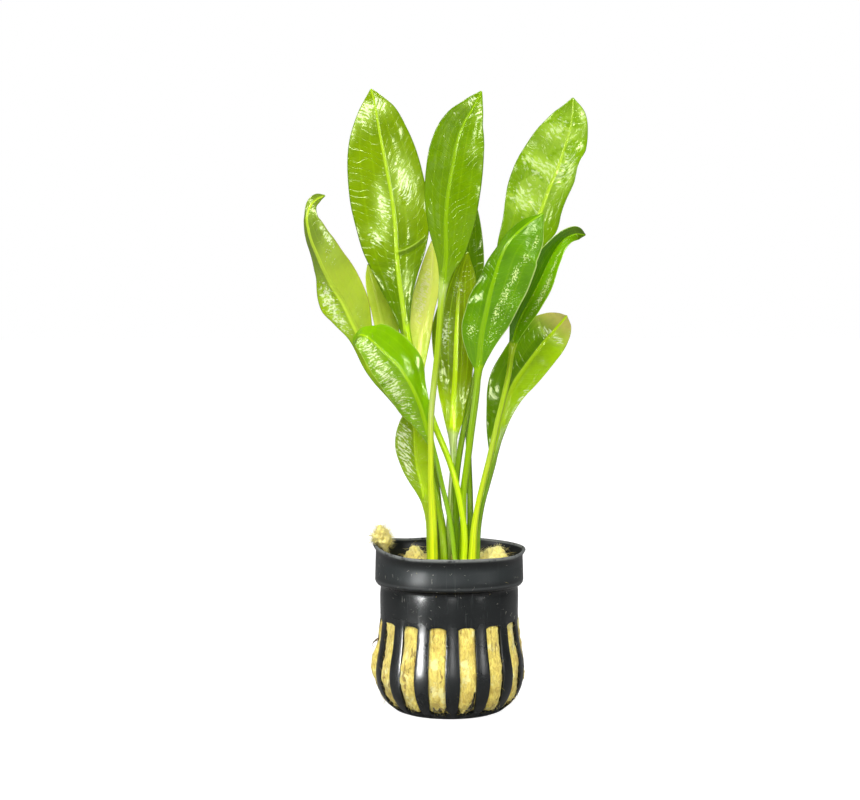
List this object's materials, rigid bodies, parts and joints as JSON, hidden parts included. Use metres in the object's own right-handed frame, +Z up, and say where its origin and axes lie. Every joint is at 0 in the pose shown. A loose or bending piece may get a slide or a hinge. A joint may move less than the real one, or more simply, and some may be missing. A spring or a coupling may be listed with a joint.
{
  "type": "potted amazon sword plant",
  "caption": "Rosette of long-stalked sword-shaped leaves rising from a crown set in yellow rock wool in a slotted black net pot.",
  "frame": {"origin": "middle of the flat underside of the pot, where it stands", "axes": "+Z up along the pot's axis, +X to the right and -Y towards a viewer of the pictured side"},
  "size_m": [0.0932, 0.0591, 0.2043],
  "materials": {
    "pot_plastic": "black moulded plastic with a soft sheen",
    "rock_wool": "damp, torn, fibrous rock wool",
    "crown": "pale green living tissue",
    "leaf_bright": "wet glossy leaf, yellow green",
    "leaf_green": "wet glossy leaf, mid green",
    "leaf_dark": "wet glossy leaf, dark green",
    "leaf_pale": "thin pale leaf, yellow green",
    "leaf_olive": "wet glossy leaf, olive green"
  },
  "bodies": {
    "root": {"net_pot": "pot_plastic", "rock_wool_plug": "rock_wool", "rock_wool_tuft": "rock_wool", "crown": "crown", "leaf_left_tall": "leaf_bright", "leaf_front_tall": "leaf_bright", "leaf_right_tall": "leaf_bright", "leaf_right_front": "leaf_dark", "leaf_right_folded": "leaf_green", "leaf_right_low": "leaf_green", "leaf_left_curled": "leaf_green", "leaf_left_front": "leaf_green", "leaf_left_low": "leaf_green", "leaf_left_back": "leaf_pale", "leaf_centre_pale": "leaf_pale", "leaf_centre_back": "leaf_olive", "leaf_back_upright": "leaf_dark"}
  },
  "joints": []
}
